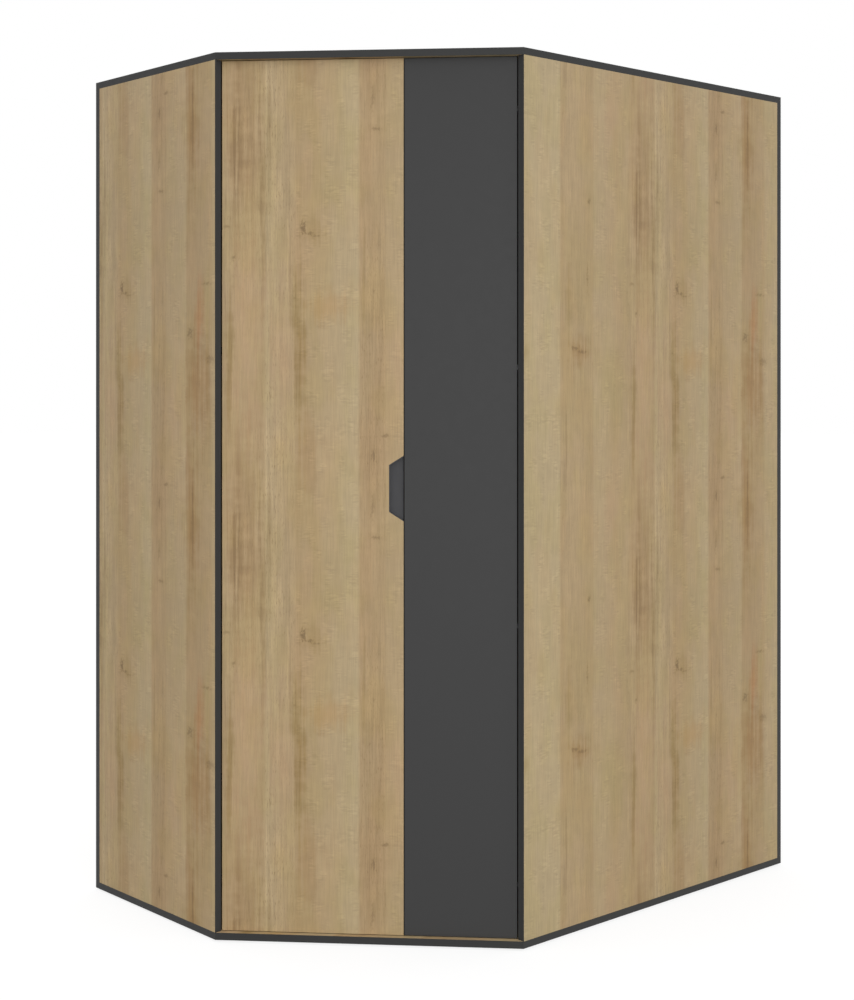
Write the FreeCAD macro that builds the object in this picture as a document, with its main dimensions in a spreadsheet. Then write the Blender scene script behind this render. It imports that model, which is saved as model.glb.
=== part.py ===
import FreeCAD, Part
import Sketcher
import os

# Corner wardrobe with a slanted two-door front. The two back boards stand along the room's walls.
# Frame: millimetres, +Z up, floor at z = 0. The long wall is along Y, at the low X side, and the short
# wall is along X, at the high Y side. The origin is under the middle of the whole outline.

doc = FreeCAD.newDocument("corner_wardrobe")

SIZES = {
    # carcass
    "short_wall": 960,
    "long_wall": 1445,
    "carcass_height": 1956,
    # how much the slanted front cuts off the outer corner
    "corner_cut_x": 477,
    "corner_cut_y": 477,
    "board": 16,
    "edging": 1,
    # glides under the bottom board
    "glide_height": 4,
    "glide_radius": 20,
    "glide_peg_radius": 3,
    "glide_peg_length": 10,
    "glide_inset": 45,
    # shelves, partition and hanging rail
    "column_width": 434,
    "partition_depth": 480,
    "shelf_clearance": 12,
    "shelf_side_gap": 1,
    "shelf_rest_gap": 0.2,
    "hat_space": 320,
    "hat_shelf_setback": 20,
    "rail_drop": 60,
    "rail_from_back": 240,
    "rail_radius": 12.5,
    "rail_wall": 1.2,
    "rail_end_gap": 0.3,
    "socket_radius": 24,
    "socket_flange": 2.5,
    "socket_depth": 12,
    "socket_wall": 2,
    "socket_screw_spacing": 19.5,
    "shelf_pin_radius": 2.5,
    "shelf_pin_seat": 8,
    "shelf_pin_reach": 8,
    "shelf_pin_inset": 60,
    "shelf_pin_pitch": 32,
    # doors
    "door_board": 16,
    "door_setback": 14,
    "door_gap": 1.5,
    "hinge_gap": 2,
    "oak_door_width": 401,
    # finger pull in the free edge of the oak door
    "notch_width": 32,
    "notch_height": 144,
    "notch_inner_height": 103,
    "notch_centre": 1000,
    "pull_wall": 1.6,
    "pull_depth": 11,
    "pull_undercut": 6,
    # hinges, measured from the hinge edge of the door, the cup's floor and the door's back face
    "hinge_inset": 110,
    "pivot_from_edge": 11,
    "pivot_lift": 4.4,
    "pivot_radius": 1.5,
    "pivot_clearance": 0.05,
    "eye_radius": 3,
    "cup_from_edge": 22.5,
    "cup_radius": 17.4,
    "cup_wall": 0.9,
    "cup_depth": 12.3,
    "cup_flange": 1.5,
    "cup_flange_width": 36,
    "cup_flange_height": 64,
    "cup_screw_spacing": 48,
    "arm_thickness": 2.5,
    "arm_width": 12,
    "arm_riser_from_edge": 22.25,
    "arm_behind_door": 8.05,
    "arm_standoff": 12,
    "plate_near": 35,
    "plate_far": 75,
    "plate_width": 14,
    "plate_wing": 2.5,
    "plate_wing_length": 24,
    "plate_wing_height": 48,
    "plate_screw_spacing": 32,
    # screws and other fixings
    "fit_gap": 0.1,
    "screw_radius": 1.9,
    "screw_length": 13.5,
    "screw_head_radius": 3.4,
    "screw_head": 1.7,
    "screw_recess": 1.1,
    "screw_recess_length": 4.2,
    "screw_recess_width": 0.9,
    "arm_screw_radius": 2.5,
    "arm_screw_length": 9,
    "arm_screw_head_radius": 4,
    "arm_screw_head": 2,
    "arm_screw_recess": 1.3,
    "arm_screw_recess_length": 5,
    "arm_screw_recess_width": 1.1,
    "cam_radius": 7.4,
    "cam_depth": 12.4,
    "cam_from_end": 34,
    "cam_recess": 3,
    "cam_recess_length": 8.4,
    "cam_recess_width": 1.8,
    "bolt_radius": 3,
    "bolt_in_board": 11,
    "dowel_radius": 4,
    "dowel_length": 30,
    "dowel_in_board": 11,
    "dowel_from_cam": 32,
    "joint_inset": 70,
    "back_screw_radius": 3.4,
    "back_screw_length": 50,
    "back_screw_head_radius": 4.9,
    "back_screw_head": 4,
    "back_screw_recess": 2.6,
    "back_screw_recess_length": 6,
    "back_screw_recess_width": 1.4,
    # wall brackets and door stops
    "bracket_from_corner": 300,
    "bracket_width": 40,
    "bracket_leg": 45,
    "bracket_metal": 2.5,
    "anchor_radius": 3,
    "anchor_drop": 28,
    "bracket_screw_spacing": 24,
    "bracket_screw_reach": 30,
    "stop_width": 60,
    "stop_depth": 16,
    "stop_height": 20,
    "stop_peg_radius": 3,
    "stop_peg_length": 8,
    "bumper_radius": 6,
    "bumper_height": 2,
    "bumper_spacing": 34,
    "bumper_gap": 0.3,
}
HINGES_PER_DOOR = 4
SHELVES = 5
BACK_SCREWS_PER_JOINT = 4
HAT_SHELF_SCREWS = 3
SPARE_HOLES_EACH_WAY = 1

sizes = doc.addObject("Spreadsheet::Sheet", "sizes")
for row, (alias, value) in enumerate(SIZES.items(), start=1):
    sizes.set(f"A{row}", alias)
    sizes.set(f"B{row}", str(value))
    sizes.setAlias(f"B{row}", alias)
doc.recompute()

# Values worked out from the driving sizes. Lengths run from the wall-side corner of the left end.
layout = doc.addObject("App::VarSet", "layout")
LENGTHS = {
    "corner_x": "-sizes.short_wall / 2",
    "corner_y": "-sizes.long_wall / 2",
    "left_end_depth": "sizes.short_wall - sizes.corner_cut_x",
    "front_width": "sqrt(sizes.corner_cut_x^2 + sizes.corner_cut_y^2)",
    "floor_top": "sizes.glide_height + sizes.board",
    "panel_height": "sizes.carcass_height - 2 * sizes.board",
    "ceiling": "floor_top + panel_height",
    "inner_x": "sizes.short_wall - sizes.board",
    "inner_y": "sizes.long_wall - sizes.board",
    "partition_y": "sizes.board + sizes.column_width",
    "hanging_y": "partition_y + sizes.board",
    "partition_front": "sizes.board + sizes.partition_depth",
    "shelf_front": "left_end_depth - sizes.plate_far - sizes.shelf_clearance",
    "hat_shelf_z": "ceiling - sizes.hat_space - sizes.board",
    "hat_shelf_front": "partition_front - sizes.hat_shelf_setback",
    "rail_x": "sizes.board + sizes.rail_from_back",
    "rail_z": "hat_shelf_z - sizes.rail_drop",
    "door_left": "sizes.board * sizes.corner_cut_y / front_width + sizes.hinge_gap",
    "door_right": "front_width - sizes.board * sizes.corner_cut_x / front_width - sizes.hinge_gap",
    "seam_left": "door_left + sizes.oak_door_width",
    "seam_right": "seam_left + sizes.door_gap",
    "door_back": "sizes.door_setback + sizes.door_board",
    "door_low": "floor_top + sizes.door_gap",
    "door_high": "ceiling - sizes.door_gap",
    "notch_slope": "(sizes.notch_height - sizes.notch_inner_height) / 2 / sizes.notch_width",
    "pivot_depth": "door_back - sizes.cup_depth + sizes.cup_wall + sizes.pivot_lift",
    "arm_depth": "door_back + sizes.arm_behind_door",
    "pivot_offset": "sizes.cup_from_edge - sizes.pivot_from_edge + sizes.pivot_radius",
    "pivot_half": "sqrt(sizes.cup_radius^2 - pivot_offset^2) - sizes.fit_gap",
    "hinge_step": f"(door_high - door_low - 2 * sizes.hinge_inset) / {HINGES_PER_DOOR - 1}",
}
layout.addProperty("App::PropertyAngle", "front_angle")
for alias, formula in LENGTHS.items():
    layout.addProperty("App::PropertyFloat", alias)
    layout.setExpression(alias, formula)
layout.setExpression("front_angle", "atan2(sizes.corner_cut_y; sizes.corner_cut_x)")
doc.recompute()

nodes = []


def number(formula):
    return float(sizes.evalExpression(formula))


def bind(thing, **formulas):
    for name, formula in formulas.items():
        thing.setExpression(name, formula)


def place(thing, x, y, z):
    for letter, formula in zip("xyz", (x, y, z)):
        thing.setExpression(f"Placement.Base.{letter}", formula)


def node(thing, label):
    thing.Label = label
    nodes.append(thing)
    return thing


# A sub-part built along the front has x from the left front corner, y inwards and z from the floor.
def on_front(thing):
    place(thing, "layout.corner_x + layout.left_end_depth", "layout.corner_y", "0")
    thing.setExpression("Placement.Rotation.Angle", "layout.front_angle")
    return thing


# In the carcass, x and y run from the wall-side corner of the left end.
def carcass_x(formula):
    return f"layout.corner_x + ({formula})"


def carcass_y(formula):
    return f"layout.corner_y + ({formula})"


def block(name, x, y, z):
    box = doc.addObject("Part::Box", name)
    bind(box, Length=f"({x[1]}) - ({x[0]})", Width=f"({y[1]}) - ({y[0]})", Height=f"({z[1]}) - ({z[0]})")
    place(box, x[0], y[0], z[0])
    return box


def carcass_block(name, x, y, z):
    return block(name, [carcass_x(f) for f in x], [carcass_y(f) for f in y], z)


TURNS = {
    "+Z": FreeCAD.Rotation(),
    "-Z": FreeCAD.Rotation(FreeCAD.Vector(1, 0, 0), 180),
    "+X": FreeCAD.Rotation(FreeCAD.Vector(0, 1, 0), 90),
    "-X": FreeCAD.Rotation(FreeCAD.Vector(0, 1, 0), -90),
    "+Y": FreeCAD.Rotation(FreeCAD.Vector(1, 0, 0), -90),
    "-Y": FreeCAD.Rotation(FreeCAD.Vector(1, 0, 0), 90),
}


def rod(name, radius, length, at, along="+Z"):
    cylinder = doc.addObject("Part::Cylinder", name)
    bind(cylinder, Radius=radius, Height=length)
    cylinder.Placement = FreeCAD.Placement(FreeCAD.Vector(), TURNS[along])
    place(cylinder, *at)
    return cylinder


def in_carcass(at):
    return carcass_x(at[0]), carcass_y(at[1]), at[2]


def copy_of(pattern, name, at, along="+Z"):
    link = doc.addObject("App::Link", name)
    link.LinkedObject = pattern
    link.Placement = FreeCAD.Placement(FreeCAD.Vector(), TURNS[along])
    place(link, *at)
    return link


def group(name, pieces):
    compound = doc.addObject("Part::Compound", name)
    compound.Links = pieces
    return compound


def fuse(name, pieces):
    union = doc.addObject("Part::MultiFuse", name)
    union.Shapes = pieces
    return union


def cut(name, base, tools):
    difference = doc.addObject("Part::Cut", name)
    difference.Base = base
    difference.Tool = tools[0] if len(tools) == 1 else group(f"{name}_tools", tools)
    return difference


def common(name, first, second):
    shared = doc.addObject("Part::Common", name)
    shared.Base = first
    shared.Tool = second
    return shared


# A straight prism on closed outlines of corners, each corner a pair of formulas, none below zero.
def prism(name, plane, outlines, height, against_normal=False):
    body = doc.addObject("PartDesign::Body", name)
    sketch = body.newObject("Sketcher::SketchObject", f"{name}_outline")
    origin_plane = [feature for feature in body.Origin.OriginFeatures if feature.Role == plane][0]
    sketch.AttachmentSupport = [(origin_plane, "")]
    sketch.MapMode = "FlatFace"
    for corners in outlines:
        points = [FreeCAD.Vector(number(x), number(y), 0) for x, y in corners]
        first = sketch.GeometryCount
        count = len(points)
        for index in range(count):
            sketch.addGeometry(Part.LineSegment(points[index], points[(index + 1) % count]))
        for index in range(count):
            following = first + (index + 1) % count
            sketch.addConstraint(Sketcher.Constraint("Coincident", first + index, 2, following, 1))
        for index, (x, y) in enumerate(corners):
            for kind, axis, formula in (("DistanceX", -2, x), ("DistanceY", -1, y)):
                if formula == "0":
                    sketch.addConstraint(Sketcher.Constraint("PointOnObject", first + index, 1, axis))
                else:
                    distance = Sketcher.Constraint(kind, -1, 1, first + index, 1, number(formula))
                    constraint = sketch.addConstraint(distance)
                    sketch.setExpression(f"Constraints[{constraint}]", formula)
    pad = body.newObject("PartDesign::Pad", f"{name}_pad")
    pad.Profile = sketch
    pad.Reversed = against_normal
    bind(pad, Length=height)
    return body


# Outline of the top and bottom boards, drawn in by an inset all round.
def outline(inset):
    half_angle = "layout.front_angle / 2"
    return [
        (inset, inset),
        (f"layout.left_end_depth - {inset} * tan({half_angle})", inset),
        (f"sizes.short_wall - {inset}", f"sizes.corner_cut_y + {inset} * tan(45 deg - {half_angle})"),
        (f"sizes.short_wall - {inset}", f"sizes.long_wall - {inset}"),
        (inset, f"sizes.long_wall - {inset}"),
    ]


# Cross-shaped recess for a driver, sunk into the head of a fixing that points along +Z.
def cross_recess(fixing, head):
    half_length = f"sizes.{fixing}_recess_length / 2"
    half_width = f"sizes.{fixing}_recess_width / 2"
    depths = (f"{head} - sizes.fit_gap", f"{head} + sizes.{fixing}_recess")
    return [
        block(f"{fixing}_recess_a", (f"-{half_length}", half_length), (f"-{half_width}", half_width), depths),
        block(f"{fixing}_recess_b", (f"-{half_width}", half_width), (f"-{half_length}", half_length), depths),
    ]


# Holes and fixings are collected while the joints are laid out, then each board is cut once.
holes = {name: [] for name in (
    "bottom_board", "top_board", "left_end_panel", "right_side_panel", "long_back_panel",
    "short_back_panel", "partition", "hat_shelf", "oak_door", "graphite_door",
)}

# Cam joints: a cam in the upright grips a bolt that stands in the top or bottom board, with a dowel.
half_board = "sizes.board / 2"
right_middle = f"sizes.short_wall - {half_board}"
partition_middle = f"layout.partition_y + {half_board}"
short_back_middle = f"sizes.long_wall - {half_board}"
UPRIGHTS = {
    "left_end_panel": ("X", half_board, "sizes.board", "layout.left_end_depth", "+", 2),
    "right_side_panel": ("Y", right_middle, "sizes.corner_cut_y", "layout.inner_y", "-", 3),
    "partition": ("X", partition_middle, "sizes.board", "layout.partition_front", "+", 2),
    "long_back_panel": ("Y", half_board, "0", "sizes.long_wall", "+", 4),
    "short_back_panel": ("X", short_back_middle, "sizes.board", "sizes.short_wall", "-", 3),
}
ENDS = {
    "bottom_board": ("layout.floor_top", "+", "-Z", "+Z"),
    "top_board": ("layout.ceiling", "-", "+Z", "-Z"),
}
cam_recess = fuse("cam_recess", cross_recess("cam", "0"))
cams = []
bolts = []
dowels = []
for panel, (run, middle, start, end, inner, count) in UPRIGHTS.items():
    across = {"X": "Y", "Y": "X"}[run]
    outward = {"+": "-", "-": "+"}[inner]
    for station in range(count):
        share = station / (count - 1)
        inset = f"sizes.joint_inset + (({end}) - ({start}) - 2 * sizes.joint_inset) * {share}"
        along = f"({start}) + {inset}"
        dowel_along = f"{along} {'+' if share < 0.5 else '-'} sizes.dowel_from_cam"
        at = (along, middle) if run == "X" else (middle, along)
        dowel_at = (dowel_along, middle) if run == "X" else (middle, dowel_along)
        face = f"({middle}) {inner} {half_board}"
        cam_at = (along, face) if run == "X" else (face, along)
        for board, (level, upwards, into_board, into_panel) in ENDS.items():
            tag = f"{panel}_{station + 1}_{board}"
            cam_z = f"{level} {upwards} sizes.cam_from_end"
            bolt_length = "sizes.cam_from_end + sizes.bolt_in_board"
            bolt = rod(f"{tag}_bolt", "sizes.bolt_radius", bolt_length, in_carcass((*at, cam_z)), into_board)
            bolt_hole = rod(
                f"{tag}_bolt_hole", "sizes.bolt_radius + sizes.fit_gap", f"{bolt_length} + sizes.fit_gap",
                in_carcass((*at, cam_z)), into_board)
            cam_blank = rod(
                f"{tag}_cam_blank", "sizes.cam_radius", "sizes.cam_depth",
                in_carcass((*cam_at, cam_z)), outward + across)
            cam_bore = rod(
                f"{tag}_cam_bore", "sizes.cam_radius + sizes.fit_gap", "sizes.cam_depth + sizes.fit_gap",
                in_carcass((*cam_at, cam_z)), outward + across)
            dowel_z = f"{level} {upwards} (sizes.dowel_length - sizes.dowel_in_board)"
            dowel = rod(
                f"{tag}_dowel", "sizes.dowel_radius", "sizes.dowel_length",
                in_carcass((*dowel_at, dowel_z)), into_board)
            dowel_hole = rod(
                f"{tag}_dowel_hole", "sizes.dowel_radius + sizes.fit_gap",
                "sizes.dowel_length + sizes.fit_gap", in_carcass((*dowel_at, dowel_z)), into_board)
            recess = copy_of(cam_recess, f"{tag}_cam_recess", in_carcass((*cam_at, cam_z)), outward + across)
            cams.append(cut(f"{tag}_cam", cam_blank, [bolt_hole, recess]))
            bolts.append(bolt)
            dowels.append(dowel)
            holes[panel] += [bolt_hole, cam_bore, dowel_hole]
            holes[board] += [bolt_hole, dowel_hole]
node(group("cam_lock_group", cams), "cam_locks")
node(group("cam_bolt_group", bolts), "cam_bolts")
node(group("dowel_group", dowels), "wood_dowels")

# Long screws through the back boards, heads flush with the wall side.
back_screw_blank = fuse("back_screw_blank", [
    rod("back_screw_head", "sizes.back_screw_head_radius", "sizes.back_screw_head", ("0", "0", "0")),
    rod("back_screw_shank", "sizes.back_screw_radius", "sizes.back_screw_length", ("0", "0", "0")),
])
back_screw = cut("back_screw", back_screw_blank, cross_recess("back_screw", "0"))
back_screw_hole = fuse("back_screw_hole", [
    rod("back_screw_seat", "sizes.back_screw_head_radius + sizes.fit_gap",
        "sizes.back_screw_head + sizes.fit_gap", ("0", "0", "0")),
    rod("back_screw_bore", "sizes.back_screw_radius + sizes.fit_gap",
        "sizes.back_screw_length + sizes.fit_gap", ("0", "0", "0")),
])
screw_heights = [
    f"layout.floor_top + layout.panel_height * {(2 * index + 1) / (2 * BACK_SCREWS_PER_JOINT)}"
    for index in range(BACK_SCREWS_PER_JOINT)
]
BACK_JOINTS = {
    "left_end_panel": ("long_back_panel", ("0", half_board), "+X"),
    "partition": ("long_back_panel", ("0", partition_middle), "+X"),
    "short_back_panel": ("long_back_panel", ("0", short_back_middle), "+X"),
    "right_side_panel": ("short_back_panel", (right_middle, "sizes.long_wall"), "-Y"),
}
back_screws = []
for panel, (back, at, along) in BACK_JOINTS.items():
    for index, height in enumerate(screw_heights, start=1):
        where = in_carcass((*at, height))
        back_screws.append(copy_of(back_screw, f"{panel}_back_screw_{index}", where, along))
        hole = copy_of(back_screw_hole, f"{panel}_back_screw_hole_{index}", where, along)
        holes[panel].append(hole)
        holes[back].append(hole)
for index in range(HAT_SHELF_SCREWS):
    share = (2 * index + 1) / (2 * HAT_SHELF_SCREWS)
    y = f"layout.hanging_y + (layout.inner_y - layout.hanging_y) * {share}"
    where = in_carcass(("0", y, "layout.hat_shelf_z + sizes.board / 2"))
    back_screws.append(copy_of(back_screw, f"hat_shelf_back_screw_{index + 1}", where, "+X"))
    hole = copy_of(back_screw_hole, f"hat_shelf_back_screw_hole_{index + 1}", where, "+X")
    holes["hat_shelf"].append(hole)
    holes["long_back_panel"].append(hole)
node(group("back_screw_group", back_screws), "back_screws")

# One short cross-head screw serves every fitting. It points along +Z with its head's seat at z = 0.
screw_blank = fuse("screw_blank", [
    rod("screw_shank", "sizes.screw_radius", "sizes.screw_length", ("0", "0", "0")),
    rod("screw_head", "sizes.screw_head_radius", "sizes.screw_head", ("0", "0", "-sizes.screw_head")),
])
screw = cut("screw", screw_blank, cross_recess("screw", "-sizes.screw_head"))
screw_hole = rod(
    "screw_hole", "sizes.screw_radius + sizes.fit_gap", "sizes.screw_length + sizes.fit_gap", ("0", "0", "0"))
fitting_screws = []


def screw_in(name, at, along, into, screws):
    screws.append(copy_of(screw, name, at, along))
    holes[into].append(copy_of(screw_hole, f"{name}_hole", at, along))


# Loose shelves on pins. Spare pin holes above and below let each shelf be moved by one step.
shelf_pin_length = "sizes.shelf_pin_seat + sizes.shelf_pin_reach"
pin_hole_depth = "sizes.shelf_pin_seat + sizes.fit_gap"
pin_hole_radius = "sizes.shelf_pin_radius + sizes.fit_gap"
shelf_pins = []
shelf_ends = []


def pin_in(name, at, along, into, steps):
    x, face, z = at
    tip = f"{face} {'-' if along == '+Y' else '+'} sizes.shelf_pin_reach"
    shelf_pins.append(rod(name, "sizes.shelf_pin_radius", shelf_pin_length, in_carcass((x, tip, z)), along))
    for step in range(-steps, steps + 1):
        height = f"{z} + {step} * sizes.shelf_pin_pitch"
        hole = rod(f"{name}_hole_{step + steps}", pin_hole_radius, pin_hole_depth,
                   in_carcass((x, face, height)), along)
        holes[into].append(hole)


pin_columns = {
    "back": "sizes.board + sizes.shelf_pin_inset",
    "front": "layout.shelf_front - sizes.shelf_pin_inset",
}
for index in range(1, SHELVES + 1):
    step = f"(layout.panel_height - {SHELVES} * sizes.board) / {SHELVES + 1} + sizes.board"
    shelf_z = f"layout.floor_top + {index} * ({step}) - sizes.board"
    shelf_y = ("sizes.board + sizes.shelf_side_gap", "layout.partition_y - sizes.shelf_side_gap")
    shelf_x = ("sizes.board + sizes.shelf_side_gap", "layout.shelf_front - sizes.edging")
    edge_x = ("layout.shelf_front - sizes.edging", "layout.shelf_front")
    thickness = (shelf_z, f"{shelf_z} + sizes.board")
    node(carcass_block(f"shelf_{index}", shelf_x, shelf_y, thickness), f"shelf_{index}")
    shelf_ends.append(carcass_block(f"shelf_edge_{index}", edge_x, shelf_y, thickness))
    pin_z = f"{shelf_z} - sizes.shelf_rest_gap - sizes.shelf_pin_radius"
    for column, x in pin_columns.items():
        pin_in(f"shelf_pin_{index}_{column}_end", (x, "sizes.board", pin_z), "-Y", "left_end_panel",
               SPARE_HOLES_EACH_WAY)
        pin_in(f"shelf_pin_{index}_{column}_partition", (x, "layout.partition_y", pin_z), "+Y", "partition",
               SPARE_HOLES_EACH_WAY)
node(group("shelf_edging_group", shelf_ends), "shelf_edging")

# The hat shelf spans from the partition to the short back board.
hat_z = ("layout.hat_shelf_z", "layout.hat_shelf_z + sizes.board")
hat_y = ("layout.hanging_y", "layout.inner_y")
hat_x = ("sizes.board", "layout.hat_shelf_front - sizes.edging")
hat_blank = carcass_block("hat_shelf_blank", hat_x, hat_y, hat_z)
hat_edge_x = ("layout.hat_shelf_front - sizes.edging", "layout.hat_shelf_front")
node(carcass_block("hat_shelf_edge", hat_edge_x, hat_y, hat_z), "hat_shelf_edging")
hat_pin_z = "layout.hat_shelf_z - sizes.shelf_rest_gap - sizes.shelf_pin_radius"
hat_pin_columns = {
    "back": "sizes.board + sizes.shelf_pin_inset",
    "front": "layout.hat_shelf_front - sizes.shelf_pin_inset",
}
for column, x in hat_pin_columns.items():
    pin_in(f"hat_pin_{column}_partition", (x, "layout.hanging_y", hat_pin_z), "-Y", "partition", 0)
    pin_in(f"hat_pin_{column}_back", (x, "layout.inner_y", hat_pin_z), "+Y", "short_back_panel", 0)
node(group("shelf_pin_group", shelf_pins), "shelf_pins")

# Hanging rail: a tube that sits in a screwed-on socket at each end.
rail_start = "layout.hanging_y + sizes.socket_flange + sizes.rail_end_gap"
rail_length = "layout.inner_y - layout.hanging_y - 2 * (sizes.socket_flange + sizes.rail_end_gap)"
rail_at = in_carcass(("layout.rail_x", rail_start, "layout.rail_z"))
rail_tube = rod("rail_tube", "sizes.rail_radius", rail_length, rail_at, "+Y")
rail_bore = rod("rail_bore", "sizes.rail_radius - sizes.rail_wall", rail_length, rail_at, "+Y")
node(cut("rail", rail_tube, [rail_bore]), "hanging_rail")
sockets = []
SOCKET_ENDS = {
    "partition": ("layout.hanging_y", "+", "+Y", "-Y"),
    "short_back_panel": ("layout.inner_y", "-", "-Y", "+Y"),
}
for panel, (face, away, along, into) in SOCKET_ENDS.items():
    at = in_carcass(("layout.rail_x", face, "layout.rail_z"))
    flange = rod(f"{panel}_socket_flange", "sizes.socket_radius", "sizes.socket_flange", at, along)
    collar = rod(f"{panel}_socket_collar", "sizes.rail_radius + sizes.fit_gap + sizes.socket_wall",
                 "sizes.socket_flange + sizes.socket_depth", at, along)
    bore_at = in_carcass(("layout.rail_x", f"{face} {away} sizes.socket_flange", "layout.rail_z"))
    bore = rod(f"{panel}_socket_bore", "sizes.rail_radius + sizes.fit_gap",
               "sizes.socket_depth + sizes.fit_gap", bore_at, along)
    tools = [bore]
    for side in ("+", "-"):
        screw_z = f"layout.rail_z {side} sizes.socket_screw_spacing"
        screw_at = in_carcass(("layout.rail_x", f"{face} {away} sizes.socket_flange", screw_z))
        name = f"{panel}_socket_screw_{'upper' if side == '+' else 'lower'}"
        screw_in(name, screw_at, into, panel, fitting_screws)
        tools.append(holes[panel][-1])
    sockets.append(cut(f"{panel}_socket", fuse(f"{panel}_socket_blank", [flange, collar]), tools))
node(group("rail_socket_group", sockets), "rail_sockets")

# Wall brackets: an angle under the top board and against a back board, with one hole for a wall screw.
brackets = []
bracket_low = "layout.ceiling - sizes.bracket_leg"
bracket_base = "layout.ceiling - sizes.bracket_metal"
anchor_z = "layout.ceiling - sizes.anchor_drop"
anchor_length = "sizes.board + sizes.bracket_metal"
half_bracket = "sizes.bracket_width / 2"
half_spacing = "sizes.bracket_screw_spacing / 2"
screw_reach = "sizes.bracket_screw_reach"
long_middle = "(layout.inner_y - sizes.bracket_from_corner)"
short_middle = "(sizes.board + sizes.bracket_from_corner)"
bracket_y = (f"{long_middle} - {half_bracket}", f"{long_middle} + {half_bracket}")
bracket_x = (f"{short_middle} - {half_bracket}", f"{short_middle} + {half_bracket}")
upright = (bracket_low, "layout.ceiling")
flat = (bracket_base, "layout.ceiling")
WALL_BRACKETS = {
    "long_back_panel": (
        (("sizes.board", "sizes.board + sizes.bracket_metal"), bracket_y, upright),
        (("sizes.board", "sizes.board + sizes.bracket_leg"), bracket_y, flat),
        ("0", long_middle, anchor_z), "+X",
        [(f"sizes.board + {screw_reach}", f"{long_middle} {side} {half_spacing}") for side in "+-"],
    ),
    "short_back_panel": (
        (bracket_x, ("layout.inner_y - sizes.bracket_metal", "layout.inner_y"), upright),
        (bracket_x, ("layout.inner_y - sizes.bracket_leg", "layout.inner_y"), flat),
        (short_middle, "sizes.long_wall", anchor_z), "-Y",
        [(f"{short_middle} {side} {half_spacing}", f"layout.inner_y - {screw_reach}") for side in "+-"],
    ),
}
for panel, (tall_leg, flat_leg, anchor, along, screws) in WALL_BRACKETS.items():
    legs = [
        carcass_block(f"{panel}_bracket_tall", *tall_leg),
        carcass_block(f"{panel}_bracket_flat", *flat_leg),
    ]
    anchor_hole = rod(f"{panel}_anchor_hole", "sizes.anchor_radius", anchor_length, in_carcass(anchor), along)
    holes[panel].append(anchor_hole)
    tools = [anchor_hole]
    for index, at in enumerate(screws, start=1):
        screw_in(f"{panel}_bracket_screw_{index}", in_carcass((*at, bracket_base)), "+Z", "top_board",
                 fitting_screws)
        tools.append(holes["top_board"][-1])
    brackets.append(cut(f"{panel}_bracket", fuse(f"{panel}_bracket_blank", legs), tools))
node(group("bracket_group", brackets), "wall_brackets")

# Glides: low discs pegged into the bottom board under its corners and along the front.
GLIDES = {
    "left_back": ("sizes.glide_inset", "sizes.glide_inset"),
    "left_front": ("layout.left_end_depth - sizes.glide_inset", "sizes.glide_inset"),
    "right_front": ("sizes.short_wall - sizes.glide_inset", "sizes.corner_cut_y + sizes.glide_inset"),
    "right_back": ("sizes.short_wall - sizes.glide_inset", "sizes.long_wall - sizes.glide_inset"),
    "wall_corner": ("sizes.glide_inset", "sizes.long_wall - sizes.glide_inset"),
    "long_wall": ("sizes.glide_inset", "sizes.long_wall / 2"),
}
glides = []
for name, at in GLIDES.items():
    disc = rod(f"glide_disc_{name}", "sizes.glide_radius", "sizes.glide_height", in_carcass((*at, "0")))
    peg_length = "sizes.glide_height + sizes.glide_peg_length"
    peg = rod(f"glide_peg_{name}", "sizes.glide_peg_radius", peg_length, in_carcass((*at, "0")))
    hole = rod(f"glide_hole_{name}", "sizes.glide_peg_radius + sizes.fit_gap",
               f"{peg_length} + sizes.fit_gap", in_carcass((*at, "0")))
    glides.append(fuse(f"glide_{name}", [disc, peg]))
    holes["bottom_board"].append(hole)
node(group("glide_group", glides), "glides")

# Hinges. Along the front, one side's door is hinged at its left edge and the other's at its right edge.
SIDES = {
    "oak": ("layout.door_left", "+", "-", "left_end_panel", "oak_door"),
    "graphite": ("layout.door_right", "-", "+", "right_side_panel", "graphite_door"),
}
hinge_heights = [
    f"layout.door_low + sizes.hinge_inset + {index} * layout.hinge_step" for index in range(HINGES_PER_DOOR)
]


def from_edge(side, distance):
    edge, inwards = SIDES[side][:2]
    return f"{edge} {inwards} ({distance})"


def edge_span(side, near, far):
    span = (from_edge(side, near), from_edge(side, far))
    return span if side == "oak" else span[::-1]


def around(middle, width):
    return f"{middle} - ({width}) / 2", f"{middle} + ({width}) / 2"


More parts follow.
